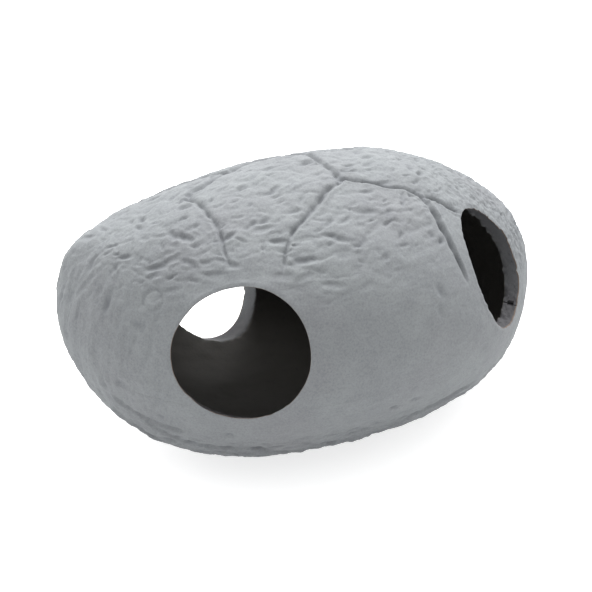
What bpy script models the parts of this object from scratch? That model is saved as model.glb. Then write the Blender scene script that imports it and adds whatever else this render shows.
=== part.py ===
"""Hollow rock cave for an aquarium or pond, in metres, standing on z = 0.

The rock is two half shells of grey casting resin that meet at a level joint near its widest height.
A channel runs along the middle of both joint faces, and a bead of adhesive in it holds the halves
together. Three round entrances are bored through the walls. They cut the joint into three stretches,
so there are three beads.
"""
import math

import bmesh
import bpy
import numpy as np
from mathutils import Vector

MM = 0.001

# Driving dimensions, in millimetres and degrees.

# The rock is a rounded body inside 26 flats. A reach is the distance from the rock's middle to a flat.
# Each ring has eight flats, 45 degrees apart, anticlockwise from +X.
ROCK_MIDDLE = (-1.5, 3.9, 39.6)
LOWER_REACH = (90, 78, 62, 63, 86, 66, 53, 73)
WAIST_REACH = (125, 101, 64, 102, 103, 90, 75, 80)
UPPER_REACH = (101, 73, 59, 95, 100, 90, 80, 72)
TOP_REACH = 61
BOTTOM_REACH = 43
LOWER_SLOPE = -45
UPPER_SLOPE = 45
ROUNDING = 6
WALL = 6.0
FLOOR = 6.0

# Entrances: the middle of the mouth, the way it faces (azimuth from +X, elevation) and its radius.
ENTRANCES = {
    "front": ((-54, -46, 63), -139, 11, 22.0),
    "side": ((50.5, -36, 62.5), -57, 2, 19.5),
    "rear": ((-16, 58.5, 28), 109, -13, 20.0),
}
BORE_INWARD = 25.0
BORE_OUTWARD = 30.0

# Joint between the halves.
JOINT_HEIGHT = 45.0
JOINT_GAP = 0.4
CHANNEL_WIDTH = 2.6
CHANNEL_DEPTH = 1.1
BEAD_WIDTH = 2.0
BEAD_HEIGHT = 2.0
BEAD_SETBACK = 0.6

# Fineness of the meshes.
SKIN_SUBDIVISIONS = 5
CAVITY_SUBDIVISIONS = 4
BORE_SIDES = 64
JOINT_STEP = 4
CUTTER_SIZE = 240.0

PARTS_NAME = "rock_cave_ornament"
CUTTERS_NAME = "cutters"


def clear_scene():
    for item in list(bpy.data.objects):
        bpy.data.objects.remove(item, do_unlink=True)


def new_collection(name):
    collection = bpy.data.collections.new(name)
    bpy.context.scene.collection.children.link(collection)
    return collection


def new_object(name, mesh, collection, location=(0, 0, 0)):
    item = bpy.data.objects.new(name, mesh)
    item.location = Vector(location) * MM
    collection.objects.link(item)
    return item


def new_material(name, colour, roughness):
    material = bpy.data.materials.new(name)
    material.use_nodes = True
    shader = material.node_tree.nodes["Principled BSDF"]
    shader.inputs["Base Color"].default_value = (*colour, 1)
    shader.inputs["Roughness"].default_value = roughness
    shader.inputs["Metallic"].default_value = 0.0
    return material


def direction(azimuth, elevation):
    a = math.radians(azimuth)
    e = math.radians(elevation)
    return Vector((math.cos(e) * math.cos(a), math.cos(e) * math.sin(a), math.sin(e)))


def rock_flats():
    """Unit vectors towards the 26 flats: three rings of eight, the top and the bottom."""
    slopes = (LOWER_SLOPE, 0, UPPER_SLOPE)
    rings = [direction(45 * step, slope) for slope in slopes for step in range(8)]
    return np.array(rings + [(0, 0, 1), (0, 0, -1)])


FLATS = rock_flats()
SKIN_REACH = np.array(LOWER_REACH + WAIST_REACH + UPPER_REACH + (TOP_REACH, BOTTOM_REACH), float)


def reach_under_skin(depth):
    """The flats' reaches for a surface that lies `depth` under the skin."""
    return SKIN_REACH - depth


def cavity_reach():
    """The flats' reaches for the hollow, whose bottom leaves the floor's thickness."""
    reach = reach_under_skin(WALL)
    reach[-1] = ROCK_MIDDLE[2] - FLOOR
    return reach


def gauge(points, reach):
    """How far out each point lies: 1 on the rounded body with these reaches, less inside it."""
    towards_flats = np.maximum(0, points @ FLATS.T) / reach
    return (towards_flats ** ROUNDING).sum(axis=1) ** (1 / ROUNDING)


def rounded_body(name, reach, subdivisions, collection):
    """A sphere whose points are drawn out along their rays onto the rounded body."""
    bm = bmesh.new()
    bmesh.ops.create_icosphere(bm, subdivisions=subdivisions, radius=1.0)
    rays = np.array([vertex.co for vertex in bm.verts])
    points = rays / gauge(rays, reach)[:, None]
    for vertex, point in zip(bm.verts, points):
        vertex.co = Vector(point) * MM
    mesh = bpy.data.meshes.new(name)
    bm.to_mesh(mesh)
    bm.free()
    mesh.shade_smooth()
    mesh.set_sharp_from_angle(angle=math.radians(40))
    return new_object(name, mesh, collection, ROCK_MIDDLE)


def joint_outline(azimuths, depth):
    """Points, from the rock's middle, where the joint's level meets the surface `depth` under the skin."""
    angles = np.radians(azimuths)
    drop = np.full(len(angles), JOINT_HEIGHT - ROCK_MIDDLE[2])
    distance = np.full(len(angles), float(min(WAIST_REACH)))
    for _ in range(12):
        points = np.column_stack((distance * np.cos(angles), distance * np.sin(angles), drop))
        distance /= gauge(points, reach_under_skin(depth))
    return points


def joint_strip(name, azimuths, width, height, collection):
    """A band along the middle of the wall at the joint: an upright ribbon, thickened to its width."""
    bm = bmesh.new()
    rings = []
    for level in (-height / 2, height / 2):
        points = joint_outline(azimuths, WALL / 2) + (0, 0, level)
        rings.append([bm.verts.new(Vector(point) * MM) for point in points])
    closed = (azimuths[-1] - azimuths[0]) % 360 == 360 - JOINT_STEP
    for index in range(len(azimuths) if closed else len(azimuths) - 1):
        following = (index + 1) % len(azimuths)
        corners = (rings[0][index], rings[0][following], rings[1][following], rings[1][index])
        bm.faces.new(corners)
    mesh = bpy.data.meshes.new(name)
    bm.to_mesh(mesh)
    bm.free()
    band = new_object(name, mesh, collection, ROCK_MIDDLE)
    solidify = band.modifiers.new("width", "SOLIDIFY")
    solidify.thickness = width * MM
    solidify.offset = 0
    solidify.use_even_offset = True
    return band


def block(name, lowest, highest, collection):
    """A wide box between two heights."""
    bm = bmesh.new()
    bmesh.ops.create_cube(bm, size=MM)
    for vertex in bm.verts:
        vertex.co.x *= CUTTER_SIZE
        vertex.co.y *= CUTTER_SIZE
        vertex.co.z *= highest - lowest
    mesh = bpy.data.meshes.new(name)
    bm.to_mesh(mesh)
    bm.free()
    return new_object(name, mesh, collection, (0, 0, (lowest + highest) / 2))


def bore(name, entrance, extra_radius, collection):
    """A cylinder along an entrance's axis, from inside the hollow to outside the rock."""
    mouth, azimuth, elevation, radius = ENTRANCES[entrance]
    axis = direction(azimuth, elevation)
    bm = bmesh.new()
    bmesh.ops.create_cone(
        bm,
        cap_ends=True,
        segments=BORE_SIDES,
        radius1=(radius + extra_radius) * MM,
        radius2=(radius + extra_radius) * MM,
        depth=(BORE_INWARD + BORE_OUTWARD) * MM,
    )
    mesh = bpy.data.meshes.new(name)
    bm.to_mesh(mesh)
    bm.free()
    middle = Vector(mouth) + axis * (BORE_OUTWARD - BORE_INWARD) / 2
    cutter = new_object(name, mesh, collection, middle)
    cutter.rotation_mode = "QUATERNION"
    cutter.rotation_quaternion = axis.to_track_quat("Z", "Y")
    return cutter


def cut(item, cutter):
    """Take a cutter's shape away from a piece."""
    boolean = item.modifiers.new(cutter.name, "BOOLEAN")
    boolean.operation = "DIFFERENCE"
    boolean.solver = "EXACT"
    boolean.object = cutter


def hide_cutters(collection):
    for cutter in collection.objects:
        cutter.hide_render = True
        cutter.display_type = "WIRE"


def half_shell(name, other_half, cutters, extra_cutters, parts):
    """The rock's skin, hollowed, bored, cut off at the joint and given its channel."""
    shell = rounded_body(name, reach_under_skin(0), SKIN_SUBDIVISIONS, parts)
    for cutter in [cutters["cavity"], other_half, *extra_cutters, cutters["channel"]]:
        cut(shell, cutter)
    for entrance in ENTRANCES:
        cut(shell, cutters[entrance + "_bore"])
    return shell


def mouth_bearing(entrance):
    """The azimuth of an entrance's mouth, seen from the rock's middle."""
    mouth = Vector(ENTRANCES[entrance][0]) - Vector(ROCK_MIDDLE)
    return math.degrees(math.atan2(mouth.y, mouth.x)) % 360


def bond_bead(name, first, last, cutters, parts):
    """The adhesive between two entrances, ending a little short of both bores."""
    start = mouth_bearing(first)
    stop = mouth_bearing(last)
    if stop < start:
        stop += 360
    azimuths = np.linspace(start, stop, round((stop - start) / JOINT_STEP) + 1)
    bead = joint_strip(name, azimuths, BEAD_WIDTH, BEAD_HEIGHT, parts)
    for entrance in (first, last):
        cut(bead, cutters[entrance + "_clearance"])
    return bead


def make_cutters(collection):
    cutters = {"cavity": rounded_body("cavity", cavity_reach(), CAVITY_SUBDIVISIONS, collection)}
    for entrance in ENTRANCES:
        cutters[entrance + "_bore"] = bore(entrance + "_bore", entrance, 0, collection)
        clearance = bore(entrance + "_clearance", entrance, BEAD_SETBACK, collection)
        cutters[entrance + "_clearance"] = clearance
    upper_face = JOINT_HEIGHT + JOINT_GAP / 2
    lower_face = JOINT_HEIGHT - JOINT_GAP / 2
    cutters["below_joint"] = block("below_joint", -CUTTER_SIZE, upper_face, collection)
    cutters["above_joint"] = block("above_joint", lower_face, CUTTER_SIZE, collection)
    cutters["ground"] = block("ground", -CUTTER_SIZE, 0, collection)
    around = np.arange(0, 360, JOINT_STEP)
    channel_height = 2 * CHANNEL_DEPTH + JOINT_GAP
    cutters["channel"] = joint_strip("channel", around, CHANNEL_WIDTH, channel_height, collection)
    return cutters


def main():
    clear_scene()
    parts = new_collection(PARTS_NAME)
    cutter_collection = new_collection(CUTTERS_NAME)
    cutters = make_cutters(cutter_collection)

    upper = half_shell("upper_shell", cutters["below_joint"], cutters, [], parts)
    upper.data.materials.append(new_material("upper_grey_resin", (0.27, 0.28, 0.28), 0.85))

    lower = half_shell("lower_shell", cutters["above_joint"], cutters, [cutters["ground"]], parts)
    lower.data.materials.append(new_material("lower_grey_resin", (0.25, 0.26, 0.27), 0.85))

    beads = (
        ("bond_bead_left", "rear", "front"),
        ("bond_bead_front", "front", "side"),
        ("bond_bead_back", "side", "rear"),
    )
    for name, first, last in beads:
        bead = bond_bead(name, first, last, cutters, parts)
        bead.data.materials.append(new_material(name + "_adhesive", (0.10, 0.10, 0.09), 0.5))

    hide_cutters(cutter_collection)


main()
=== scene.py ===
"""Looks of the hollow rock cave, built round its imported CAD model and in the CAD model's own frame.

Each half shell gets one fine closed mesh: a weathered outer skin, the cut edges of the wall and the
hollow's skin. The adhesive beads lie in the channel between the halves. Lengths here are in
millimetres and angles in degrees, unless a name or a comment says otherwise, and the shape's driving
dimensions are the CAD model's. Points are measured from the rock's middle until a mesh is made.
"""
import math
import random
from itertools import product

import bpy
import numpy as np
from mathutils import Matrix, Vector, noise
from mathutils.geometry import delaunay_2d_cdt


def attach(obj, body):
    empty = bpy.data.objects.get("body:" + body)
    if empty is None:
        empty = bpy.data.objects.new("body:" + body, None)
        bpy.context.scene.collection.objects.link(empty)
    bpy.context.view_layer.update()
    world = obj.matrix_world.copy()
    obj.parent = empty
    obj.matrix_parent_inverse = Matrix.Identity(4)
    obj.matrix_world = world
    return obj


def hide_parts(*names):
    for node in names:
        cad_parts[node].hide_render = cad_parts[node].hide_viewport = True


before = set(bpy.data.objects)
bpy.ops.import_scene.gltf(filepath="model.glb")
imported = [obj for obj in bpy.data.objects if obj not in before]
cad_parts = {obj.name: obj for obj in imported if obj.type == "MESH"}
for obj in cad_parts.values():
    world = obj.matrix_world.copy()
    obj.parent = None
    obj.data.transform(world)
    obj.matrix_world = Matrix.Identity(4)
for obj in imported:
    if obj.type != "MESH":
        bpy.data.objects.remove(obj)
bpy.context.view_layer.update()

MM = 0.001
UP = np.array((0.0, 0.0, 1.0))

# The rock, as in the CAD model: how far its 26 flats lie from its middle.
MIDDLE = np.array((-1.5, 3.9, 39.6))
LOWER_REACH = (90, 78, 62, 63, 86, 66, 53, 73)
WAIST_REACH = (125, 101, 64, 102, 103, 90, 75, 80)
UPPER_REACH = (101, 73, 59, 95, 100, 90, 80, 72)
TOP_REACH = 61
BOTTOM_REACH = 43
ROUNDING = 6
WALL = 6.0
FLOOR = 6.0

# Entrances, as in the CAD model: middle, azimuth and elevation of the axis, and radius.
ENTRANCES = {
    "side": ((50.5, -36, 62.5), -57, 2, 19.5),
    "rear": ((-16, 58.5, 28), 109, -13, 20.0),
    "front": ((-54, -46, 63), -139, 11, 22.0),
}
# Further back than this along an entrance's axis is the rock's other side.
FAR_SIDE = -30
# Along its axis, a bore leaves the rock somewhere between these.
BORE_BACK = -45.0
BORE_FRONT = 40.0
# How much wider an entrance is at the hollow than at the skin: the wall is undercut there.
UNDERCUT = {"side": 0.0, "rear": 0.0, "front": 3.0}
# How far the outside coat covers an entrance's wall. Low down in it the coat's share fades out between
# these heights, in radii from the entrance's middle, so that the wall there is painted dark as shade.
COATED = {"side": 0.3, "rear": 0.6, "front": 0.0}
PAINTED_SHADE_BELOW = (-0.95, -0.5)
# How ragged each entrance's inner edge is, from which depth, and how much of that the joint has.
RAGGED = {"side": 1.0, "rear": 0.2, "front": 0.15}
RAGGED_FROM = (4.4, 5.8)
RAGGED_AT_JOINT = 0.9

# What shows of the bonded joint: a hairline outside, and the channel's ends in the entrances.
JOINT = 45.0
SEAM_GAP = 0.02
CHANNEL_FROM = 1.7
CHANNEL_TO = 4.3
CHANNEL_DEPTH = 1.1
# The channel's height at an entrance, as a share of its full height, and where it grows to that.
CHANNEL_MOUTH = 0.5
CHANNEL_GROWS = (0.8, 4.0)

# The adhesive beads: half width and half height, how far they stay back from an entrance, and mesh.
BEAD_DEPTH = 3.0
BEAD_WIDE = 1.22
BEAD_HIGH = 1.04
BEAD_RECESS = 1.5
BEAD_SQUARENESS = 0.6
BEAD_RINGS = 160
BEAD_SIDES = 12
# An end's first rings are closed in to these shares, and its tip is this far beyond them.
BEAD_ENDS = (0.93, 0.98)
BEAD_CAP = 0.03

# Rounding of the cut edges: outside and inside, at the entrances and at the joint.
OUTER_EDGE = 0.28
INNER_EDGE = 0.55
WIDEST_EDGE = 1.4
JOINT_EDGE = 0.03
EDGE_BLEND = 4.0
# How far the skins' own points stay away from the cut edges, outside and in the hollow.
OUTER_MARGIN = 0.5
INNER_MARGIN = 0.9
# Depths into the wall: where the weathering has faded out, and where the hollow's relief starts.
WEATHER_DEPTH = 2.5
INSIDE_FROM = 3.2

# The way the rock's front faces: azimuth and elevation.
FRONT = (-116.5, 35)

# Fineness of the meshes: steps along edges and over skins, and rows beside cracks and folds.
LOOP_STEP = 0.7
OUTER_STEP = 0.95
TOP_FRONT_STEP = 0.58
BASE_FRONT_STEP = 0.62
INNER_STEP = 1.6
LEAST_STEP = 0.34
CRACK_ROWS = (0, -0.36, 0.36, -0.8, 0.8, -1.3, 1.3, -1.85, 1.85)
FOLD_ROWS = (0, -0.4, 0.4, -0.85, 0.85, -1.35, 1.35, -1.9, 1.9)
ROW_MARGIN = 0.3
OUTER_AREA = 58000
INNER_AREA = 46000
# Half axes of the ellipsoid that even points lie on before they are drawn to a skin.
EVEN_HALF = np.array((90.0, 64.0, 55.0))
GOLDEN_TURN = math.pi * (3 - math.sqrt(5))
SEED = 11
# Without this, one of the noise functions differs from run to run.
noise.seed_set(SEED)


def direction(azimuth, elevation):
    a = math.radians(azimuth)
    e = math.radians(elevation)
    return np.array((math.cos(e) * math.cos(a), math.cos(e) * math.sin(a), math.sin(e)))


def unit(vectors):
    return vectors / np.linalg.norm(vectors, axis=-1, keepdims=True)


def smoothstep(low, high, value):
    share = np.clip((value - low) / (high - low), 0, 1)
    return share * share * (3 - 2 * share)


def bell(value, half):
    """A smooth bump: 1 at 0, and 1/e at `half`."""
    return np.exp(-(value / half) ** 2)


def rock_flats():
    rings = [direction(45 * step, slope) for slope in (-45, 0, 45) for step in range(8)]
    return np.array(rings + [(0, 0, 1), (0, 0, -1)])


FLATS = rock_flats()
SKIN_REACH = np.array(LOWER_REACH + WAIST_REACH + UPPER_REACH + (TOP_REACH, BOTTOM_REACH), float)
HOLLOW_REACH = SKIN_REACH - WALL
HOLLOW_REACH[-1] = MIDDLE[2] - FLOOR


def reach_at(depth):
    """The flats' reaches at each depth into the wall."""
    share = np.asarray(depth, float)[..., None] / WALL
    return SKIN_REACH + (HOLLOW_REACH - SKIN_REACH) * share


def gauge(points, reach):
    """How far out each point lies: 1 on the rounded body with these reaches, less inside it."""
    towards_flats = np.maximum(0, points @ FLATS.T) / reach
    return (towards_flats ** ROUNDING).sum(axis=1) ** (1 / ROUNDING)


def outward(points, reach):
    """Unit normals of the rounded body through each point."""
    towards_flats = np.maximum(0, points @ FLATS.T) / reach
    return unit((towards_flats ** (ROUNDING - 1) / reach) @ FLATS)


# ---- The loops round a half's cut edge ----

def mouth_frame(entrance):
    """An entrance's middle in the CAD frame, its axis, the directions across and up it, and its radius."""
    middle, azimuth, elevation, radius = ENTRANCES[entrance]
    axis = direction(azimuth, elevation)
    across = unit(np.cross(UP, axis))
    return np.array(middle, float), axis, across, np.cross(axis, across), radius


FRAMES = {entrance: mouth_frame(entrance) for entrance in ENTRANCES}


def from_mouth(points, entrance):
    """How far each point lies outside an entrance's bore, and how far along the bore's axis."""
    middle, axis, _, _, radius = FRAMES[entrance]
    off = points + MIDDLE - middle
    ahead = off @ axis
    return np.linalg.norm(off - ahead[:, None] * axis, axis=1) - radius, ahead


def undercut(entrance, depth):
    """How much wider an entrance is at this depth into the wall."""
    share = np.clip((np.asarray(depth, float) - OUTER_EDGE) / (WALL - OUTER_EDGE), 0, 1)
    return UNDERCUT[entrance] * share


def rim(entrance, angles, gain, depth):
    """Points where an entrance's bore, widened by `gain`, leaves the body at `depth`."""
    middle, axis, across, upright, radius = FRAMES[entrance]
    angles = np.asarray(angles, float)
    spokes = np.cos(angles)[:, None] * across + np.sin(angles)[:, None] * upright
    wide = radius + np.asarray(gain) + undercut(entrance, depth)
    starts = middle - MIDDLE + wide[..., None] * spokes
    reach = reach_at(np.broadcast_to(depth, angles.shape))
    low = np.full(len(angles), BORE_BACK)
    high = np.full(len(angles), BORE_FRONT)
    for _ in range(34):
        halfway = (low + high) / 2
        inside = gauge(starts + halfway[:, None] * axis, reach) < 1
        low = np.where(inside, halfway, low)
        high = np.where(inside, high, halfway)
    return starts + low[:, None] * axis


def corner(entrance, side, gain, depth, level):
    """The angle on an entrance's rim at which it meets a level. Side 1 has the larger azimuth."""
    upright = FRAMES[entrance][3]
    radius = FRAMES[entrance][4] + gain + undercut(entrance, depth)
    angle = 0.0 if side > 0 else math.pi
    for _ in range(24):
        height = rim(entrance, [angle], gain, depth)[0, 2] + MIDDLE[2]
        sine = math.sin(angle) + (level - height) / (radius * upright[2])
        lean = math.asin(max(-1.0, min(1.0, sine)))
        angle = lean if side > 0 else math.pi - lean
    return angle


def joint_line(azimuths, depth, level):
    """Points where a level meets the body at `depth`, at the given azimuths in radians."""
    drop = np.broadcast_to(level, azimuths.shape) - MIDDLE[2]
    reach = reach_at(np.broadcast_to(depth, azimuths.shape))
    distance = np.full(len(azimuths), 60.0)
    for _ in range(40):
        points = np.column_stack((distance * np.cos(azimuths), distance * np.sin(azimuths), drop))
        distance = distance / gauge(points, reach)
    return np.column_stack((distance * np.cos(azimuths), distance * np.sin(azimuths), drop))


def bearing(point):
    return math.atan2(point[1], point[0])


def channel_share(run):
    """How tall the adhesive's channel is this far from an entrance, as a share of its full height."""
    return CHANNEL_MOUTH + (1 - CHANNEL_MOUTH) * smoothstep(*CHANNEL_GROWS, run)


def along(path):
    """How far along a path each of its points lies."""
    return np.concatenate(([0], np.cumsum(np.linalg.norm(np.diff(path, axis=0), axis=1))))


def resampled(path, lengths, marks):
    """The points of a path at these places along it."""
    return np.column_stack([np.interp(marks, lengths, path[:, axis]) for axis in range(3)])


class Loop:
    """The closed loop round a half's edge: over each entrance, then along the joint to the next."""

    def __init__(self, upper):
        self.sign = 1 if upper else -1
        self.names = list(ENTRANCES)
        ends = {name: self.ends(name, 0, 0, JOINT) for name in self.names}
        tips = {name: rim(name, ends[name], 0, 0) for name in self.names}
        self.mouths = {}
        self.joints = {}
        count = 0
        for index, name in enumerate(self.names):
            turn = abs(ends[name][1] - ends[name][0]) * FRAMES[name][4]
            points = round(turn * 1.15 / LOOP_STEP)
            self.mouths[name] = (count, count + points)
            count += points
            swing = (bearing(tips[self.after(index)][0]) - bearing(tips[name][1])) % (2 * math.pi)
            points = round(swing * 72 / LOOP_STEP)
            self.joints[name] = (count, count + points)
            count += points
        self.count = count
        self.at_mouth = np.zeros(count)
        for first, last in self.mouths.values():
            self.at_mouth[first:last] = smoothstep(0, EDGE_BLEND, self.run(first, last))

    def after(self, index):
        return self.names[(index + 1) % len(self.names)]

    def run(self, first, last):
        """How far each point of a stretch is from the nearer end of it."""
        steps = np.arange(last - first)
        return np.minimum(steps, steps[::-1]) * LOOP_STEP

    def ends(self, name, gain, depth, level):
        """A mouth's two corner angles, turned so that the way between them stays in this half."""
        start = corner(name, -1, gain, depth, level)
        stop = corner(name, 1, gain, depth, level)
        return (start, stop) if self.sign > 0 else (start, stop + 2 * math.pi)

    def ring(self, depth, edge, channel=0.0):
        """The loop at a depth into the wall, drawn back from both cuts by `edge`."""
        depth = np.broadcast_to(depth, self.count)
        edge = np.broadcast_to(edge, self.count)
        points = np.zeros((self.count, 3))
        rise = SEAM_GAP / 2 + channel * CHANNEL_MOUTH
        for name, (first, last) in self.mouths.items():
            corners = []
            for which, index in enumerate((first, last - 1)):
                level = JOINT + self.sign * (rise + edge[index])
                corners.append(self.ends(name, edge[index], depth[index], level)[which])
            angles = np.linspace(*corners, last - first)
            points[first:last] = rim(name, angles, edge[first:last], depth[first:last])
        for index, name in enumerate(self.names):
            first, last = self.joints[name]
            start = bearing(points[first - 1])
            stop = start + (bearing(points[self.mouths[self.after(index)][0]]) - start) % (2 * math.pi)
            azimuths = np.linspace(start, stop, last - first + 2)[1:-1]
            opened = channel * channel_share(self.run(first, last))
            level = JOINT + self.sign * (SEAM_GAP / 2 + opened + edge[first:last])
            points[first:last] = joint_line(azimuths, depth[first:last], level)
        return points


# ---- Weathering of the skin ----

# Cracks: the way each runs, as azimuth and elevation, and how deep it starts and ends.
CRACKS = (
    # along the crown, from the left over the top
    (((174, 51), (168, 53), (163, 57), (143, 63), (112, 67), (82, 72.5), (65, 78), (0, 85.5), (-56, 81.5),
      (-72, 75.5)), 1.0, 1.0),
    # from the crown's left end towards the front entrance
    (((174, 51), (183, 52), (193, 51), (200.5, 49), (208, 45.5), (212, 42), (215, 39.5),
      (217, 37)), 1.0, 0.85),
    # from the top towards the front entrance
    (((-72, 75.5), (-82.5, 73.5), (-102, 70.5), (-113, 64), (-120, 59), (-125, 54), (-127, 50),
      (-127.5, 46), (-127.5, 42), (-127, 39), (-126.5, 36.5)), 1.1, 0.8),
    # from the top to the side entrance
    (((-72, 75.5), (-63, 72.5), (-54, 68), (-48, 62.5), (-42, 58), (-40.5, 52), (-37, 48), (-36.5, 43.5),
      (-35, 40)), 1.15, 1.2),
    # down the front, left of the side entrance
    (((-40.5, 52), (-42.5, 50), (-48, 45.5), (-53.5, 39.5), (-56.5, 33.5), (-58.5, 28),
      (-60.5, 23.5)), 1.35, 0.8),
    # down the back
    (((82, 72.5), (88, 58), (80, 46), (86, 34), (82, 24)), 1.0, 0.4),
    (((143, 63), (141, 50), (148, 38), (143, 27)), 1.0, 0.4),
    (((88, 58), (66, 50), (48, 47), (30, 40), (18, 30)), 1.0, 0.4),
)
CRACK_STEP = 0.5
# Across a crack: a sharp groove in a wider trough, with a lip along each side, the lower one higher.
GROOVE_DEPTH = 1.15
GROOVE_HALF = 0.75
TROUGH_DEPTH = 0.6
TROUGH_HALF = 2.1
LIP_HEIGHT = 0.5
LIP_AT = 1.75
LIP_HALF = 0.75
UPPER_LIP = 0.25
# A crack that dies out narrows by this share. Near a crack the casting is plainer.
CRACK_TAPER = 0.5
PLAINNESS = 0.8
PLAIN_HALF = 1.6

# Folds low on the rock: the way each runs, and its height.
FOLDS = (
    (((238, -18), (246, -22), (256, -26), (270, -26), (280, -20), (289, -14.5), (300, -11.5),
      (310, -11.5)), 0.8),
    (((190, -0.5), (194, -3), (198, -5), (203, -6), (209, -7)), 0.75),
    (((187, -5.5), (189, -8), (192, -12), (194, -15.5), (198, -18)), 0.7),
    (((197, -6), (201, -9.5), (205, -11.5), (212, -12.5)), 0.7),
    (((205, -11.5), (211, -14), (216, -15.5), (222, -17), (230, -19)), 0.8),
    (((214, -19), (224, -22.5), (236, -25), (250, -28)), 0.7),
    (((60, -12), (75, -16), (92, -19), (108, -15)), 0.7),
)
FOLD_STEP = 0.6
# Across a fold: a ridge, steeper above, with a crease along each side, the lower one deeper.
RIDGE_HEIGHT = 1.3
RIDGE_HALF = {"above": 0.5, "below": 0.85}
CREASE_AT = 1.5
CREASE_HALF = 0.55
UPPER_CREASE = 0.4

# Broad swells and hollows of the casting: place, half width and height.
SWELLS = (
    ((-57, 13, 50), 15, -1.6),
    ((-79, 22, 34), 9, 2.6),
    ((2, 8, 58), 24, 1.2),
    ((77, -13, 25), 13, 1.1),
)

# Single pits: direction, half width, half height and depth.
PITS = (
    ((-46, 55), 0.9, 0.8, 0.7),
    ((-61, 42), 1.4, 0.7, 0.6),
    ((-59, 39), 1.5, 0.7, 0.6),
    ((-73, 28), 1.5, 3.2, 0.5),
    ((-76, 23), 1.2, 2.6, 0.4),
    ((-92, -4.5), 1.9, 0.9, 0.7),
    ((-84, -4.5), 2.2, 0.9, 0.6),
    ((-95, -14.5), 1.8, 0.8, 0.7),
    ((187.5, 20.5), 1.4, 3.6, 0.8),
    ((176, 25), 1.2, 3.6, 0.6),
    ((198, 20), 2.6, 1.6, 0.5),
    ((195, 4.5), 3.0, 1.6, 0.4),
    ((189, 2), 2.2, 1.4, 0.4),
    ((204, -2), 1.6, 0.9, 0.6),
    ((220, -6), 1.7, 0.9, 0.6),
    ((225, -16.5), 1.6, 0.8, 0.7),
    ((234, -19.5), 1.7, 0.8, 0.7),
    ((237.5, -13.5), 1.2, 0.7, 0.5),
)
PIT_STRENGTH = 1.3

# A faint round mark on the left: direction, radius, depth and half width of its line.
ROUND_MARK = ((199.5, 26), 3.5, 0.4, 0.6)

# A low lip round each entrance: height, place outside its edge and half width.
MOUTH_LIP = (0.20, 1.1, 0.6)

# The scattered dents: places, the share of them kept, sizes, and the shape of size 1.
DENT_PLACES = 2300
DENTS_KEPT = 0.7
DENT_SIZES = (0.6, 0.7, 0.85, 1.0, 1.2, 1.5)
DENT_LONG = 3.2
DENT_HIGH = 1.15
DENT_LIP = 0.30
# How far a dent can reach along x, and in all.
DENT_SPAN = 7.0
DENT_REACH = 8.0

# Size of the noise that pushes points about, so that no form is quite regular.
WARP_SIZE = 6.0

# The casting is rough from this height up, and at the foot. Between them it is nearly plain, with
# some roughness on the left.
ROUGH_FROM = 72
ROUGH_BAND = 15
LEAST_ROUGH = 0.2
LEFT_ROUGH = 0.36
FOOT_ROUGH = 1.05

# Turns points so that the first axis runs down the rock's right-hand end.
STREAK_TURN = np.array(((0.66, 0, 0.75), (-0.25, 0.95, 0.2), (-0.7, -0.3, 0.65))).T


def on_skin(rays, reach=SKIN_REACH):
    """Rays from the middle, drawn out to the body. The outer skin is cut flat by the ground."""
    out = gauge(rays, reach)
    if reach is SKIN_REACH:
        down = np.maximum(0, -rays[:, 2]) / MIDDLE[2]
        out = (out ** 40 + down ** 40) ** (1 / 40)
    return rays / out[:, None]


def at_direction(azimuth, elevation):
    return on_skin(np.array([direction(azimuth, elevation)]))[0]


def smooth_path(corners, step):
    """A curve on the skin through directions given as (azimuth, elevation), in even steps."""
    knots = on_skin(np.array([direction(*corner_) for corner_ in corners]))
    knots = np.vstack((2 * knots[0] - knots[1], knots, 2 * knots[-1] - knots[-2]))
    fine = []
    for a, b, c, d in zip(knots, knots[1:], knots[2:], knots[3:]):
        for t in np.linspace(0, 1, 24, endpoint=False):
            fine.append(0.5 * (2 * b + (c - a) * t + (2 * a - 5 * b + 4 * c - d) * t * t
                               + (3 * b - a - 3 * c + d) * t ** 3))
    fine = on_skin(np.array(fine + [knots[-2]]))
    lengths = along(fine)
    return on_skin(resampled(fine, lengths, np.arange(0, lengths[-1], step)))


def noisy(points, size, octaves=3, shift=0.0, stretch=(1, 1, 1)):
    """Fractal noise at points in millimetres, with features of about this size."""
    scaled = points / size / np.array(stretch) + shift
    return np.array([noise.fractal(Vector(p), 0.9, 2.1, octaves) for p in scaled])


def grooves(values, sharpness):
    """Grooves where noise crosses zero: 1 along the middle of each and 0 beside it."""
    return np.clip(1 - np.abs(values) * sharpness, 0, 1)


def to_path(points, path):
    """Each point's distance from a path, and how far along the path its nearest point is, 0 to 1."""
    best = np.full(len(points), 1e9)
    place = np.zeros(len(points))
    low = path.min(axis=0) - 8
    high = path.max(axis=0) + 8
    near = ((points > low) & (points < high)).all(axis=1)
    chosen = points[near]
    distance = np.full(len(chosen), 1e9)
    share_along = np.zeros(len(chosen))
    for index in range(len(path) - 1):
        a = path[index]
        run = path[index + 1] - a
        share = np.clip((chosen - a) @ run / (run @ run), 0, 1)
        gap = np.linalg.norm(chosen - a - share[:, None] * run, axis=1)
        closer = gap < distance
        distance[closer] = gap[closer]
        share_along[closer] = (index + share[closer]) / (len(path) - 1)
    best[near] = distance
    place[near] = share_along
    return best, place


def height_at(path, place):
    """A path's height at each place along it, 0 to 1."""
    return np.interp(place * (len(path) - 1), np.arange(len(path)), path[:, 2])


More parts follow.
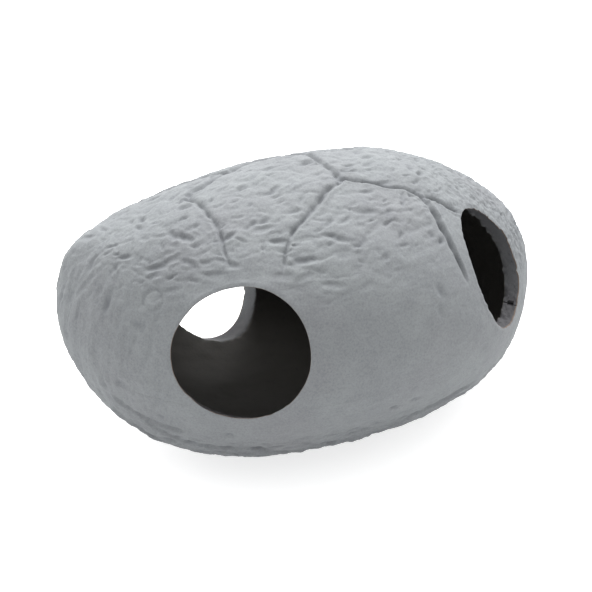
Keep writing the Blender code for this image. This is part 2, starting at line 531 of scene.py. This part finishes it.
def scattered_dents(seed):
    """Hollows all over the rock: middle, way it runs, way up, half length, half height and depth."""
    draw = random.Random(seed)
    made = []
    for index in range(DENT_PLACES):
        height = 1 - 2 * (index + 0.5) / DENT_PLACES
        turn = index * GOLDEN_TURN + draw.uniform(-0.04, 0.04)
        height = max(-1.0, min(1.0, height + draw.uniform(-0.015, 0.015)))
        flat = math.sqrt(max(0, 1 - height * height))
        ray = EVEN_HALF * (flat * math.cos(turn), flat * math.sin(turn), height)
        middle = on_skin(ray[None])
        normal = outward(middle, SKIN_REACH)[0]
        middle = middle[0]
        size = draw.choice(DENT_SIZES)
        tilt = draw.gauss(0, 16)
        chance = draw.random()
        depth = draw.uniform(0.5, 1.0)
        if chance > DENTS_KEPT:
            continue
        level = np.cross(UP, normal)
        if np.linalg.norm(level) < 0.35:
            level = level + np.array((0.8, 0.25, 0.0))
        level = unit(level - normal * (level @ normal))
        up = np.cross(normal, level)
        # The dents run level in front and steeply at both ends.
        tilt += 80 * smoothstep(62, 82, -middle[0]) - 70 * smoothstep(40, 62, middle[0])
        c = math.cos(math.radians(tilt))
        s = math.sin(math.radians(tilt))
        lengthways = c * level + s * up
        crossways = c * up - s * level
        if crossways[2] < 0:
            crossways = -crossways
        depth *= 0.35 + 0.45 * size
        made.append((middle, lengthways, crossways, DENT_LONG * size, DENT_HIGH * size, depth))
    return made


DENTS = scattered_dents(SEED)
CRACK_PATHS = [(smooth_path(corners, CRACK_STEP), start, end) for corners, start, end in CRACKS]
FOLD_PATHS = [(smooth_path(corners, FOLD_STEP), height) for corners, height in FOLDS]


def dented(points):
    """Depth of the scattered hollows at each point, and height of the lips under them."""
    order = np.argsort(points[:, 0])
    sorted_points = points[order]
    deepest = np.zeros(len(points))
    highest = np.zeros(len(points))
    for middle, lengthways, crossways, length, height, depth in DENTS:
        span = (middle[0] - DENT_SPAN, middle[0] + DENT_SPAN)
        first, last = np.searchsorted(sorted_points[:, 0], span)
        rest = sorted_points[first:last] - middle
        s = rest @ lengthways / length
        t = rest @ crossways / height
        near = (rest * rest).sum(axis=1) < DENT_REACH ** 2
        # Each is steep along its upper side and runs out gently below, over a lip.
        steep = np.where(t > 0, t * 1.7, t * 0.75)
        bowl = np.clip(1 - s * s - steep * steep, 0, 1)
        lip = bell(t + 1.55, 0.45) * np.clip(1 - s * s, 0, 1)
        deepest[first:last] = np.maximum(deepest[first:last], np.where(near, depth * bowl ** 1.15, 0))
        highest[first:last] = np.maximum(highest[first:last], np.where(near, DENT_LIP * depth * lip, 0))
    dents = np.zeros(len(points))
    dents[order] = deepest
    lips = np.zeros(len(points))
    lips[order] = highest
    return dents, lips


def rough_share(points):
    """How rough the casting is: full over the crown, slight low on the front and round entrances."""
    height = points[:, 2] + MIDDLE[2]
    front = smoothstep(5, 35, -points[:, 1])
    right = smoothstep(-45, -5, points[:, 0])
    right_end = smoothstep(40, 62, points[:, 0])
    rough_from = ROUGH_FROM + 5 * front * right - 24 * right_end
    crown = smoothstep(rough_from, rough_from + ROUGH_BAND, height)
    share = LEAST_ROUGH + (1 - LEAST_ROUGH) * crown
    left = smoothstep(52, 74, -points[:, 0])
    share = np.maximum(share, LEFT_ROUGH * left * smoothstep(18, 34, height))
    share = np.maximum(share, FOOT_ROUGH * smoothstep(32, 22, height))
    for entrance in FRAMES:
        gap, ahead = from_mouth(points, entrance)
        share = share * np.where(ahead > FAR_SIDE, 0.2 + 0.8 * smoothstep(0.5, 12, gap), 1)
    return share


def casting(points, warp, rough):
    """The casting's broad relief, its finer relief, and how hollow each point lies in that, which sets how
    much painted shade darkens the coat there.
    """
    broad = 0.5 * noisy(points, 34, 2) + 0.42 * rough * noisy(points, 14, 2, shift=31.0)
    for place, half, height in SWELLS:
        broad = broad + height * bell(np.linalg.norm(points - np.array(place), axis=1), half)

    lumps = 0.36 * noisy(points, 7.5, 3, shift=5.0, stretch=(1.8, 1.4, 1)) * (0.5 + 0.5 * rough)
    soft_left = smoothstep(15, 45, -points[:, 0]) * (1 - rough)
    lumps = lumps + 0.42 * soft_left * noisy(points, 9.5, 2, shift=41.0)
    dents, lips = dented(points + warp)
    creases = noisy(points + warp, 4.4, 3, shift=9.0, stretch=(2.4, 1.9, 0.9))
    creases = 0.42 * rough * grooves(creases, 3.0)
    grain = (0.04 + 0.06 * rough) * noisy(points, 1.7, 2, shift=3.0)

    wrinkles = grooves(noisy(points, 7.5, 2, shift=17.0, stretch=(1.2, 1.0, 4.0)), 2.6)
    left_end = smoothstep(68, 84, -points[:, 0]) * smoothstep(-30, -5, points[:, 2])
    streaks = grooves(noisy(points @ STREAK_TURN, 3.0, 3, shift=23.0, stretch=(7, 1.6, 1.0)), 2.6)
    right_end = smoothstep(28, 50, points[:, 0]) * smoothstep(2, 16, points[:, 2])

    finer = lumps + (lips - dents) * rough - creases + grain
    finer = finer - 0.4 * left_end * wrinkles - 0.55 * right_end * streaks
    return broad, finer, dents * rough + 0.6 * creases


def cracked(points, warp, finer, hollow):
    """The finer relief and the hollowness with the cracks in them; the hollowness sets the painted shade
    in the coat.
    """
    for path, start, end in CRACK_PATHS:
        distance, place = to_path(points + 0.45 * warp, path)
        uneven = 1 + 0.35 * np.sin(place * len(path) / 7.0) * np.sin(place * len(path) / 3.1 + 1.3)
        strength = (start + (end - start) * smoothstep(0.6, 1, place)) * uneven
        if end < 1:
            strength = strength * (1 - smoothstep(0.82, 1.0, place))
            distance = distance / (1 - CRACK_TAPER * smoothstep(0.35, 0.95, place))
        below = smoothstep(0.3, -0.3, points[:, 2] - height_at(path, place))
        groove = np.exp(-distance / GROOVE_HALF)
        trough = bell(distance, TROUGH_HALF)
        lip = bell(distance - LIP_AT, LIP_HALF) * (UPPER_LIP + (1 - UPPER_LIP) * below)
        kept = 1 - np.clip(PLAINNESS * bell(distance, PLAIN_HALF) * strength, 0, 1)
        cut = GROOVE_DEPTH * groove + TROUGH_DEPTH * trough - LIP_HEIGHT * lip
        finer = finer * kept - strength * cut
        hollow = hollow + 0.9 * strength * groove
    return finer, hollow


def mouth_lips(points):
    height, place, half = MOUTH_LIP
    total = np.zeros(len(points))
    for entrance in FRAMES:
        gap, ahead = from_mouth(points, entrance)
        total = total + height * bell(gap - place, half) * (ahead > FAR_SIDE)
    return total


def folded(points, warp):
    """How far the folds stand out, and how hollow they leave the skin, for the painted shade in its
    creases.
    """
    total = np.zeros(len(points))
    hollow = np.zeros(len(points))
    for path, height in FOLD_PATHS:
        distance, place = to_path(points + 0.7 * warp, path)
        above = points[:, 2] > height_at(path, place)
        fade = smoothstep(0, 0.12, place) * smoothstep(1, 0.88, place)
        ridge = bell(distance, np.where(above, RIDGE_HALF["above"], RIDGE_HALF["below"]))
        crease = bell(distance - CREASE_AT, CREASE_HALF) * np.where(above, UPPER_CREASE, 1.0)
        total = total + fade * height * (RIDGE_HEIGHT * ridge - crease)
        hollow = hollow + fade * 0.6 * crease
    return total, hollow


def pitted(points):
    """Depth of the single pits."""
    total = np.zeros(len(points))
    for place, wide, tall, depth in PITS:
        rest = points - at_direction(*place)
        level_gap = np.hypot(rest[:, 0], rest[:, 1])
        total = total + PIT_STRENGTH * depth * bell(level_gap, wide) * bell(rest[:, 2], tall)
    return total


def round_mark(points):
    place, radius, depth, half = ROUND_MARK
    gap = np.linalg.norm(points - at_direction(*place), axis=1) - radius
    return depth * bell(gap, half)


def weather(points):
    """How far the skin stands out at each point, and how hollow it is there, which sets the painted shade
    in its hollows.
    """
    rough = rough_share(points)
    warp = np.array([noise.noise_vector(Vector(p / WARP_SIZE)) for p in points])
    broad, finer, hollow = casting(points, warp, rough)
    finer, hollow = cracked(points, warp, finer, hollow)
    folds, creases = folded(points, warp)
    pits = pitted(points + 0.5 * warp)
    total = broad + finer + mouth_lips(points) + folds - pits - round_mark(points + 0.3 * warp)
    standing = smoothstep(0.3, 3.0, points[:, 2] + MIDDLE[2])
    return total * standing, (hollow + creases + pits) * standing


# ---- Skins and half shells ----

def even_rays(step, area):
    """Rays from the middle that give points about `step` apart on a skin of this area."""
    count = round(area / (step * step * 0.866))
    index = np.arange(count) + 0.5
    height = 1 - 2 * index / count
    turn = index * GOLDEN_TURN
    flat = np.sqrt(1 - height * height)
    return EVEN_HALF * np.column_stack((flat * np.cos(turn), flat * np.sin(turn), height))


def spread(step):
    """Points over the outer skin, which of them face the front, and which are above the joint."""
    points = on_skin(even_rays(step, OUTER_AREA))
    return points, unit(points) @ direction(*FRONT) > 0, points[:, 2] > JOINT - MIDDLE[2]


def finely_spread():
    """Points over the outer skin, finer where it faces the front."""
    top, in_front, high = spread(TOP_FRONT_STEP)
    top = top[in_front & high]
    base, in_front, high = spread(BASE_FRONT_STEP)
    base = base[in_front & ~high]
    back, in_front, high = spread(OUTER_STEP)
    return np.vstack((top, base, back[~in_front]))


def clear_of_cuts(points, upper, margin, depth=0.0):
    """Which points lie well inside a half's skin, away from the joint and the entrances."""
    sign = 1 if upper else -1
    keep = sign * (points[:, 2] + MIDDLE[2] - JOINT) > margin + JOINT_EDGE
    for entrance in FRAMES:
        gap, ahead = from_mouth(points, entrance)
        gap = gap - undercut(entrance, depth)
        keep &= (gap > margin + OUTER_EDGE) | (ahead < BORE_BACK)
    return keep


def rows_beside(path, offsets):
    """Extra points along a path on the skin, in rows beside it."""
    run = unit(np.gradient(path, axis=0))
    aside = unit(np.cross(outward(path, SKIN_REACH), run))
    return np.vstack([path + offset * aside for offset in offsets])


def thinned(points, least):
    """The points, without those closer than `least` to an earlier one."""
    kept = []
    cells = {}
    for index, point in enumerate(points):
        x, y, z = np.floor(point / least).astype(int)
        crowded = False
        for dx, dy, dz in product((-1, 0, 1), repeat=3):
            for other in cells.get((x + dx, y + dy, z + dz), ()):
                rest = points[other] - point
                crowded = crowded or rest @ rest < least * least
        if not crowded:
            kept.append(index)
            cells.setdefault((x, y, z), []).append(index)
    return points[kept]


def flattened(points, upper):
    """Points laid out on a plane, for joining them into triangles."""
    rays = unit(points / EVEN_HALF)
    sign = 1 if upper else -1
    return rays[:, :2] / (1 + sign * rays[:, 2])[:, None]


def skin_faces(border, inner_points, upper):
    """Triangles over the skin within its border. Points are numbered border first."""
    plane = flattened(np.vstack((border, inner_points)), upper)
    count = len(border)
    edges = [(index, (index + 1) % count) for index in range(count)]
    verts, _, faces, sources, _, _ = delaunay_2d_cdt([Vector(p) for p in plane], edges, [], 1, 1e-9)
    if len(verts) != len(plane):
        raise RuntimeError("the skin's points don't all lie apart and inside its border")
    number = [source[0] for source in sources]
    return np.array([[number[point] for point in face] for face in faces])


def facing(points, faces, outwards):
    """The triangles, turned so that they face away from the middle, or towards it."""
    a, b, c = (points[faces[:, index]] for index in range(3))
    side = (np.cross(b - a, c - a) * (a + b + c)).sum(axis=1)
    return faces if (side.sum() > 0) == outwards else faces[:, ::-1]


def band_faces(rings, count, flip):
    """Quads between neighbouring rings of equal count, numbered ring after ring."""
    here = np.arange(count)
    following = (here + 1) % count
    quads = []
    for ring in range(rings - 1):
        a = ring * count + here
        b = ring * count + following
        c = (ring + 1) * count + following
        d = (ring + 1) * count + here
        quads.append(np.column_stack((a, d, c, b) if flip else (a, b, c, d)))
    return np.vstack(quads)


def placed(name, data, place=(0, 0, 0), target=None):
    """A new object in the scene, looking at a target if there is one. Lengths are in metres."""
    item = bpy.data.objects.new(name, data)
    item.location = place
    if target is not None:
        item.rotation_euler = (Vector(target) - Vector(place)).to_track_quat("-Z", "Y").to_euler()
    bpy.context.scene.collection.objects.link(item)
    return item


def mesh_object(name, points, triangles, quads, attributes, sharp=()):
    """A smooth mesh from points in millimetres, with named values at its points.

    `sharp` holds ranges of point numbers; edges between neighbours in a range are sharp.
    """
    mesh = bpy.data.meshes.new(name)
    corners = np.concatenate((triangles.ravel(), quads.ravel())).astype(np.int32)
    sizes = np.concatenate((np.full(len(triangles), 3), np.full(len(quads), 4)))
    mesh.vertices.add(len(points))
    mesh.vertices.foreach_set("co", (points * MM).astype(np.float32).ravel())
    mesh.loops.add(len(corners))
    mesh.loops.foreach_set("vertex_index", corners)
    mesh.polygons.add(len(sizes))
    starts = np.concatenate(([0], np.cumsum(sizes)[:-1])).astype(np.int32)
    mesh.polygons.foreach_set("loop_start", starts)
    for label, values in attributes.items():
        layer = mesh.attributes.new(label, "FLOAT", "POINT")
        layer.data.foreach_set("value", values.astype(np.float32))
    mesh.update(calc_edges=True)
    mesh.validate()
    mesh.shade_smooth()
    ends = np.empty(2 * len(mesh.edges), np.int32)
    mesh.edges.foreach_get("vertices", ends)
    ends = ends.reshape(-1, 2)
    marked = np.zeros(len(ends), bool)
    for first, last in sharp:
        within = ((ends >= first) & (ends < last)).all(axis=1)
        marked |= within & (np.abs(ends[:, 0] - ends[:, 1]) == 1)
    mesh.edges.foreach_set("use_edge_sharp", marked)
    return placed(name, mesh)


# Rings over the cut edge: shares of each rounding, and depths into the wall and the channel.
OUTER_ROUND = (0, 0.3, 0.55, 0.8, 1)
INNER_ROUND = (1, 0.65, 0.3, 0)
CHANNEL_SIDE = 0.06
WALL_RINGS = (
    (1.3, 0),
    (CHANNEL_FROM, 0),
    (CHANNEL_FROM + CHANNEL_SIDE, CHANNEL_DEPTH),
    (2.35, CHANNEL_DEPTH),
    (3.0, CHANNEL_DEPTH),
    (3.65, CHANNEL_DEPTH),
    (CHANNEL_TO - CHANNEL_SIDE, CHANNEL_DEPTH),
    (CHANNEL_TO, 0),
    (4.8, 0),
)


def edge_rings(loop, upper):
    """Rings over a half's cut edge, from the outside in, and the depths of their points."""
    outer_edge = JOINT_EDGE + (OUTER_EDGE - JOINT_EDGE) * loop.at_mouth
    row = 3.7 if upper else 8.1
    jagged = np.array([noise.fractal(Vector((t * 0.31, row, 0)), 0.8, 2.2, 3) for t in range(loop.count)])
    inner_edge = JOINT_EDGE + (INNER_EDGE * (1 + 0.8 * jagged) - JOINT_EDGE) * loop.at_mouth
    inner_edge = np.clip(inner_edge, JOINT_EDGE, WIDEST_EDGE)

    stops = [(outer_edge * share ** 2, outer_edge * (1 - share) ** 2, 0) for share in OUTER_ROUND]
    stops += [(np.full(loop.count, depth), 0, channel) for depth, channel in WALL_RINGS]
    stops += [(WALL - inner_edge * share ** 2, inner_edge * (1 - share) ** 2, 0) for share in INNER_ROUND]
    return [loop.ring(*stop) for stop in stops], [stop[0] for stop in stops]


def mouth_walls(loop, ring_count, points, depth):
    """How each point of the entrances' walls is moved, and how far the outside coat covers it, less low
    down, where the wall is painted dark as shade.
    """
    at_mouth = np.zeros(len(points))
    at_mouth[:ring_count * loop.count] = np.tile(loop.at_mouth, ring_count)
    spokes = np.zeros((len(points), 3))
    coat_with_low_shade = np.zeros(len(points))
    ragged = np.zeros(len(points))
    for entrance, (first, last) in loop.mouths.items():
        middle, axis, _, _, radius = FRAMES[entrance]
        for ring in range(ring_count):
            part = slice(ring * loop.count + first, ring * loop.count + last)
            off = points[part] + MIDDLE - middle
            spokes[part] = unit(off - (off @ axis)[:, None] * axis)
            # Low in the entrance the coat's share fades out: painted shade.
            coat_with_low_shade[part] = COATED[entrance] * smoothstep(*PAINTED_SHADE_BELOW, off[:, 2] / radius)
            ragged[part] = RAGGED[entrance]
    walls = at_mouth > 0
    inner_edge = smoothstep(*RAGGED_FROM, depth[walls])
    by_joint = bell(points[walls, 2] + MIDDLE[2] - JOINT, 2.5)
    strength = 0.04 + ragged[walls] * (inner_edge + RAGGED_AT_JOINT * by_joint)
    uneven = np.zeros(len(points))
    uneven[walls] = 0.06 * noisy(points[walls], 3.0, 3, shift=21.0)
    uneven[walls] += strength * noisy(points[walls], 2.0, 3, shift=4.0)
    return spokes * (uneven * at_mouth)[:, None], coat_with_low_shade


def half_shell(name, upper, outer_rays, inner_rays):
    """One half of the rock: its cut edges in rings, closed by the outer skin and the hollow's skin."""
    loop = Loop(upper)
    rings, depths = edge_rings(loop, upper)
    skin = on_skin(outer_rays)
    skin = skin[clear_of_cuts(skin, upper, OUTER_MARGIN)]
    hollow_skin = on_skin(inner_rays, HOLLOW_REACH)
    hollow_skin = hollow_skin[clear_of_cuts(hollow_skin, upper, INNER_MARGIN, WALL)]

    # One numbering: the rings from outside in, then the outer skin, then the hollow's skin.
    count = loop.count
    last_ring = (len(rings) - 1) * count
    skin_start = len(rings) * count
    hollow_start = skin_start + len(skin)
    points = np.vstack(rings + [skin, hollow_skin])
    depth = np.concatenate(depths + [np.zeros(len(skin)), np.full(len(hollow_skin), WALL)])

    outer = skin_faces(rings[0], skin, upper)
    outer = np.where(outer < count, outer, outer - count + skin_start)
    inner = skin_faces(rings[-1], hollow_skin, upper)
    inner = np.where(inner < count, inner + last_ring, inner - count + hollow_start)
    triangles = np.vstack((facing(points, outer, True), facing(points, inner, False)))
    quads = band_faces(len(rings), count, upper)

    stands_out = np.zeros(len(points))
    hollow = np.zeros(len(points))
    shallow = depth < WEATHER_DEPTH
    stands_out[shallow], hollow[shallow] = weather(points[shallow])
    fade = smoothstep(WEATHER_DEPTH, 0.2, depth)
    inside = np.zeros(len(points))
    deep = depth > INSIDE_FROM
    inside[deep] = 0.35 * noisy(points[deep], 16, 2, shift=2.0)
    inside[deep] += 0.16 * noisy(points[deep], 5, 2, shift=7.0)
    inside = inside * smoothstep(INSIDE_FROM, 5.8, depth)
    # The walls' coat share is smaller low in each entrance, where the wall is painted dark as shade.
    on_walls, coat_with_low_shade = mouth_walls(loop, len(rings), points, depth)
    moved = points + outward(points, reach_at(depth)) * (stands_out * fade + inside)[:, None]
    moved = moved + on_walls + MIDDLE
    moved[:, 2] = np.maximum(moved[:, 2], 0)

    # The hollow value sets the painted shade in the skin's hollows.
    attributes = {"inward": depth / WALL, "hollow": hollow * fade, "coat_with_low_shade": coat_with_low_shade}
    sharp = [(first - 1, last + 1) for first, last in loop.joints.values()]
    return mesh_object(name, moved, triangles, quads, attributes, sharp)


# ---- Adhesive beads ----

def squarish(value):
    """Draws a coordinate on a circle out towards a square's."""
    return math.copysign(abs(value) ** BEAD_SQUARENESS, value)


def bead(name, start_name, stop_name):
    """Cured adhesive in the channel from one entrance to the next, ending a little short of both."""
    start = rim(start_name, [corner(start_name, 1, 0, BEAD_DEPTH, JOINT)], 0, BEAD_DEPTH)[0]
    stop = rim(stop_name, [corner(stop_name, -1, 0, BEAD_DEPTH, JOINT)], 0, BEAD_DEPTH)[0]
    from_azimuth = bearing(start)
    to_azimuth = from_azimuth + (bearing(stop) - from_azimuth) % (2 * math.pi)
    whole = joint_line(np.linspace(from_azimuth, to_azimuth, BEAD_RINGS), BEAD_DEPTH, JOINT)
    lengths = along(whole)
    marks = np.linspace(BEAD_RECESS, lengths[-1] - BEAD_RECESS, BEAD_RINGS)
    line = resampled(whole, lengths, marks)
    opened = channel_share(np.minimum(marks, lengths[-1] - marks))
    run = unit(np.gradient(line, axis=0))
    aside = unit(np.cross(run, UP))

    points = []
    for index in range(BEAD_RINGS):
        end = min(index, BEAD_RINGS - 1 - index)
        close = BEAD_ENDS[end] if end < len(BEAD_ENDS) else 1.0
        grow = 0.97 + 0.03 * noise.noise(Vector((index * 0.21, 5.0, from_azimuth)))
        for side in range(BEAD_SIDES):
            angle = 2 * math.pi * side / BEAD_SIDES
            wide = BEAD_WIDE * squarish(math.cos(angle))
            high = BEAD_HIGH * opened[index] * squarish(math.sin(angle))
            points.append(line[index] + grow * close * (wide * aside[index] + high * UP))
    points.append(line[0] - BEAD_CAP * run[0])
    points.append(line[-1] + BEAD_CAP * run[-1])
    points = np.array(points)

    quads = band_faces(BEAD_RINGS, BEAD_SIDES, True)
    last = (BEAD_RINGS - 1) * BEAD_SIDES
    caps = []
    for side in range(BEAD_SIDES):
        after = (side + 1) % BEAD_SIDES
        caps.append((len(points) - 2, side, after))
        caps.append((len(points) - 1, last + after, last + side))
    return mesh_object(name, points + MIDDLE, np.array(caps), quads, {"inward": np.ones(len(points))})


# ---- Materials ----

COAT_GREY = (0.155, 0.163, 0.170)
COAT_WARM = (0.156, 0.158, 0.166)
COAT_PALE = (0.197, 0.210, 0.212)
COAT_DARK = (0.111, 0.117, 0.127)
EDGE_BROWN = (0.115, 0.088, 0.072)
WALL_DARK = (0.042, 0.042, 0.045)
WALL_GREY = (0.076, 0.074, 0.079)
HOLLOW_BLACK = (0.080, 0.076, 0.070)
FLOOR_PALE = (0.60, 0.60, 0.60)
FLOOR_FAINT = tuple(c * 0.985 for c in FLOOR_PALE)
FLOOR_GLOW = 0.68


class Nodes:
    """Short ways to add and join the shader nodes of a material or a world."""

    def __init__(self, owner, main="Principled BSDF"):
        owner.use_nodes = True
        self.owner = owner
        self.tree = owner.node_tree
        self.main = self.tree.nodes[main]

    def fill(self, socket, value):
        """Joins another node's output to an input, or sets the input to a plain value."""
        if isinstance(value, bpy.types.NodeSocket):
            self.tree.links.new(value, socket)
        else:
            socket.default_value = value

    def add(self, kind, settings=None, inputs=None):
        node = self.tree.nodes.new(kind)
        for key, value in (settings or {}).items():
            setattr(node, key, value)
        for key, value in (inputs or {}).items():
            self.fill(node.inputs[key], value)
        return node

    def shade(self, name, value):
        """Fills an input of the main shader."""
        self.fill(self.main.inputs[name], value)

    def noise(self, size, detail=3.0, roughness=0.55):
        """Noise with features of about `size` millimetres."""
        vector = self.add("ShaderNodeTexCoord").outputs["Object"]
        values = {"Vector": vector, "Scale": 1000.0 / size, "Detail": detail, "Roughness": roughness}
        return self.add("ShaderNodeTexNoise", None, values).outputs["Fac"]

    def value(self, name):
        return self.add("ShaderNodeAttribute", {"attribute_name": name}).outputs["Fac"]

    def math(self, operation, *values):
        node = self.add("ShaderNodeMath", {"operation": operation}, dict(enumerate(values)))
        return node.outputs["Value"]

    def rescale(self, value, low, high, to_low=0.0, to_high=1.0):
        inputs = {"Value": value, "From Min": low, "From Max": high, "To Min": to_low, "To Max": to_high}
        return self.add("ShaderNodeMapRange", {"clamp": True}, inputs).outputs["Result"]

    def mix(self, factor, first, second):
        """A mix of two colours. Inputs 0, 6 and 7 of the node are its factor and its colours."""
        inputs = {0: factor}
        for index, colour in ((6, first), (7, second)):
            inputs[index] = (*colour, 1) if isinstance(colour, tuple) else colour
        settings = {"data_type": "RGBA", "blend_type": "MIX"}
        return self.add("ShaderNodeMix", settings, inputs).outputs[2]

    def bump(self, height, distance, normal=None):
        inputs = {"Height": height, "Distance": distance * MM, "Strength": 1.0}
        if normal is not None:
            inputs["Normal"] = normal
        return self.add("ShaderNodeBump", None, inputs).outputs["Normal"]


def rock_material(name):
    """Chalky grey coat outside, with painted shade in its hollows and low in the entrances, dark cut
    walls, near-black bare resin in the hollow.
    """
    nodes = Nodes(bpy.data.materials.new(name))
    inward = nodes.value("inward")
    hollow = nodes.value("hollow")

    broad = nodes.noise(45, 2.0)
    middling = nodes.noise(7, 4.0, 0.6)
    speckle = nodes.noise(0.7, 3.0, 0.7)
    coat = nodes.mix(nodes.rescale(broad, 0.3, 0.7, 0.0, 0.55), COAT_GREY, COAT_PALE)
    coat = nodes.mix(nodes.rescale(nodes.noise(28, 3.0), 0.45, 0.75, 0.0, 0.7), coat, COAT_WARM)
    coat = nodes.mix(nodes.rescale(middling, 0.35, 0.75, 0.0, 0.35), coat, COAT_DARK)
    coat = nodes.mix(nodes.rescale(speckle, 0.48, 0.72, 0.0, 0.55), coat, COAT_PALE)
    coat = nodes.mix(nodes.rescale(speckle, 0.5, 0.3, 0.0, 0.50), coat, COAT_DARK)
    # Painted shade: the coat is darkened towards its dark tone in the skin's dents, cracks, creases and
    # pits.
    coat = nodes.mix(nodes.rescale(hollow, 0.1, 1.1, 0.0, 0.65), coat, COAT_DARK)

    # Inwards from the skin: the coat, a thin brown line, the cut wall and, past it, the bare hollow.
    edge = nodes.math("MULTIPLY_ADD", nodes.noise(2.2, 4.0, 0.65), 0.10, inward)
    edge = nodes.math("SUBTRACT", edge, 0.05)
    wall = nodes.mix(nodes.rescale(middling, 0.3, 0.7), WALL_DARK, WALL_GREY)
    # The walls take the coat as far as it covers them; low in the entrances they stay dark as painted
    # shade.
    wall = nodes.mix(nodes.value("coat_with_low_shade"), wall, coat)
    colour = nodes.mix(nodes.rescale(inward, 0.004, 0.012), coat, EDGE_BROWN)
    colour = nodes.mix(nodes.rescale(edge, 0.06, 0.10), colour, wall)
    inner_edge = nodes.math("MULTIPLY_ADD", nodes.noise(1.7, 4.0, 0.65), 0.2, inward)
    colour = nodes.mix(nodes.rescale(inner_edge, 1.05, 1.08), colour, HOLLOW_BLACK)
    nodes.shade("Base Color", colour)
    nodes.shade("Roughness", nodes.rescale(inward, 0.1, 0.9, 0.93, 0.72))
    nodes.shade("Specular IOR Level", 0.25)
    bump = nodes.bump(nodes.noise(1.6, 4.0, 0.6), 0.10)
    nodes.shade("Normal", nodes.bump(nodes.noise(0.42, 3.0, 0.7), 0.045, bump))
    return nodes.owner


def adhesive_material(name):
    nodes = Nodes(bpy.data.materials.new(name))
    cloudy = nodes.noise(1.5, 3.0)
    nodes.shade("Base Color", nodes.mix(nodes.rescale(cloudy, 0.3, 0.7), WALL_GREY, WALL_DARK))
    nodes.shade("Roughness", 0.5)
    nodes.shade("Normal", nodes.bump(nodes.noise(0.9, 3.0), 0.12))
    return nodes.owner


def floor_material():
    """A white sheet. Its glow keeps it near white where the rock doesn't shade it."""
    nodes = Nodes(bpy.data.materials.new("floor_white"))
    faint = nodes.noise(60, 2.0)
    nodes.shade("Base Color", nodes.mix(nodes.rescale(faint, 0.3, 0.7), FLOOR_PALE, FLOOR_FAINT))
    nodes.shade("Roughness", 0.9)
    nodes.shade("Emission Color", (1, 1, 1, 1))
    nodes.shade("Emission Strength", FLOOR_GLOW)
    return nodes.owner


# ---- Floor, light and camera ----

# In metres.
FLOOR_HALF = 3.0
# The sky's strength from low to high, and its share left in front, where it is shaded.
WORLD_LOW = 1.5
WORLD_HIGH = 2.2
WORLD_FRONT = 0.27
SHADE_TOWARDS = (-111, 10)
# The softbox, in metres and watts.
KEY_POWER = 25.0
KEY_PLACE = (0.42, 0.62, 0.95)
KEY_SIZE = 0.8
CAMERA_PLACE = (-298.9, -520.2, 385.6)
CAMERA_TARGET = (-6.8, 2.6, 48.2)
CAMERA_ANGLE = 17.458


def add_floor():
    signs = ((-1, -1), (1, -1), (1, 1), (-1, 1))
    mesh = bpy.data.meshes.new("floor")
    mesh.from_pydata([(FLOOR_HALF * x, FLOOR_HALF * y, 0) for x, y in signs], [], [(0, 1, 2, 3)])
    mesh.materials.append(floor_material())
    floor = placed("floor", mesh)


def facing_share(nodes, towards, limits, strengths):
    """A strength that changes with how far a ray points one way."""
    rays = nodes.add("ShaderNodeTexCoord").outputs["Generated"]
    ahead = nodes.add("ShaderNodeVectorMath", {"operation": "DOT_PRODUCT"}, {0: rays, 1: towards})
    names = ("Value", "From Min", "From Max", "To Min", "To Max")
    inputs = dict(zip(names, (ahead.outputs["Value"], *limits, *strengths)))
    return nodes.add("ShaderNodeMapRange", {"interpolation_type": "SMOOTHSTEP"}, inputs).outputs["Result"]


def add_sky():
    """A white sky, brighter above, and darker in front of the rock."""
    nodes = Nodes(bpy.data.worlds.new("studio"), "Background")
    above = facing_share(nodes, (0, 0, 1), (-0.1, 0.8), (WORLD_LOW, WORLD_HIGH))
    shaded = facing_share(nodes, tuple(direction(*SHADE_TOWARDS)), (0.12, 0.95), (1, WORLD_FRONT))
    nodes.shade("Color", (1, 1, 1, 1))
    nodes.shade("Strength", nodes.math("MULTIPLY", above, shaded))
    bpy.context.scene.world = nodes.owner


def add_light():
    data = bpy.data.lights.new("softbox", "AREA")
    data.shape = "DISK"
    data.size = KEY_SIZE
    data.energy = KEY_POWER
    placed("softbox", data, KEY_PLACE, (0, 0, 0))


def add_camera():
    data = bpy.data.cameras.new("camera")
    data.angle = math.radians(CAMERA_ANGLE)
    data.clip_start = 0.01
    place = Vector(CAMERA_PLACE) * MM
    bpy.context.scene.camera = placed("camera", data, place, Vector(CAMERA_TARGET) * MM)


# ---- Making the pieces ----

def main():
    outer = finely_spread()
    clear = np.ones(len(outer), bool)
    rows = []
    for paths, offsets in ((CRACK_PATHS, CRACK_ROWS), (FOLD_PATHS, FOLD_ROWS)):
        for path, *_ in paths:
            rows.append(rows_beside(path, offsets))
            clear &= to_path(outer, path)[0] > offsets[-1] + ROW_MARGIN
    outer = np.vstack((outer[clear], thinned(on_skin(np.vstack(rows)), LEAST_STEP)))
    inner = even_rays(INNER_STEP, INNER_AREA)

    coat = rock_material("rock_resin")
    glue = adhesive_material("bond_adhesive")
    for name, upper, node in (("rock_top", True, "upper_shell"), ("rock_base", False, "lower_shell")):
        piece = half_shell(name, upper, outer, inner)
        piece.data.materials.append(coat)
        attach(piece, "root")
        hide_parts(node)
    stretches = (
        ("adhesive_left", "rear", "front", "bond_bead_left"),
        ("adhesive_front", "front", "side", "bond_bead_front"),
        ("adhesive_back", "side", "rear", "bond_bead_back"),
    )
    for name, first, last, node in stretches:
        piece = bead(name, first, last)
        piece.data.materials.append(glue)
        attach(piece, "root")
        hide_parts(node)
    add_floor()
    add_sky()
    add_light()
    add_camera()
    bpy.context.scene.view_settings.view_transform = "Standard"


main()
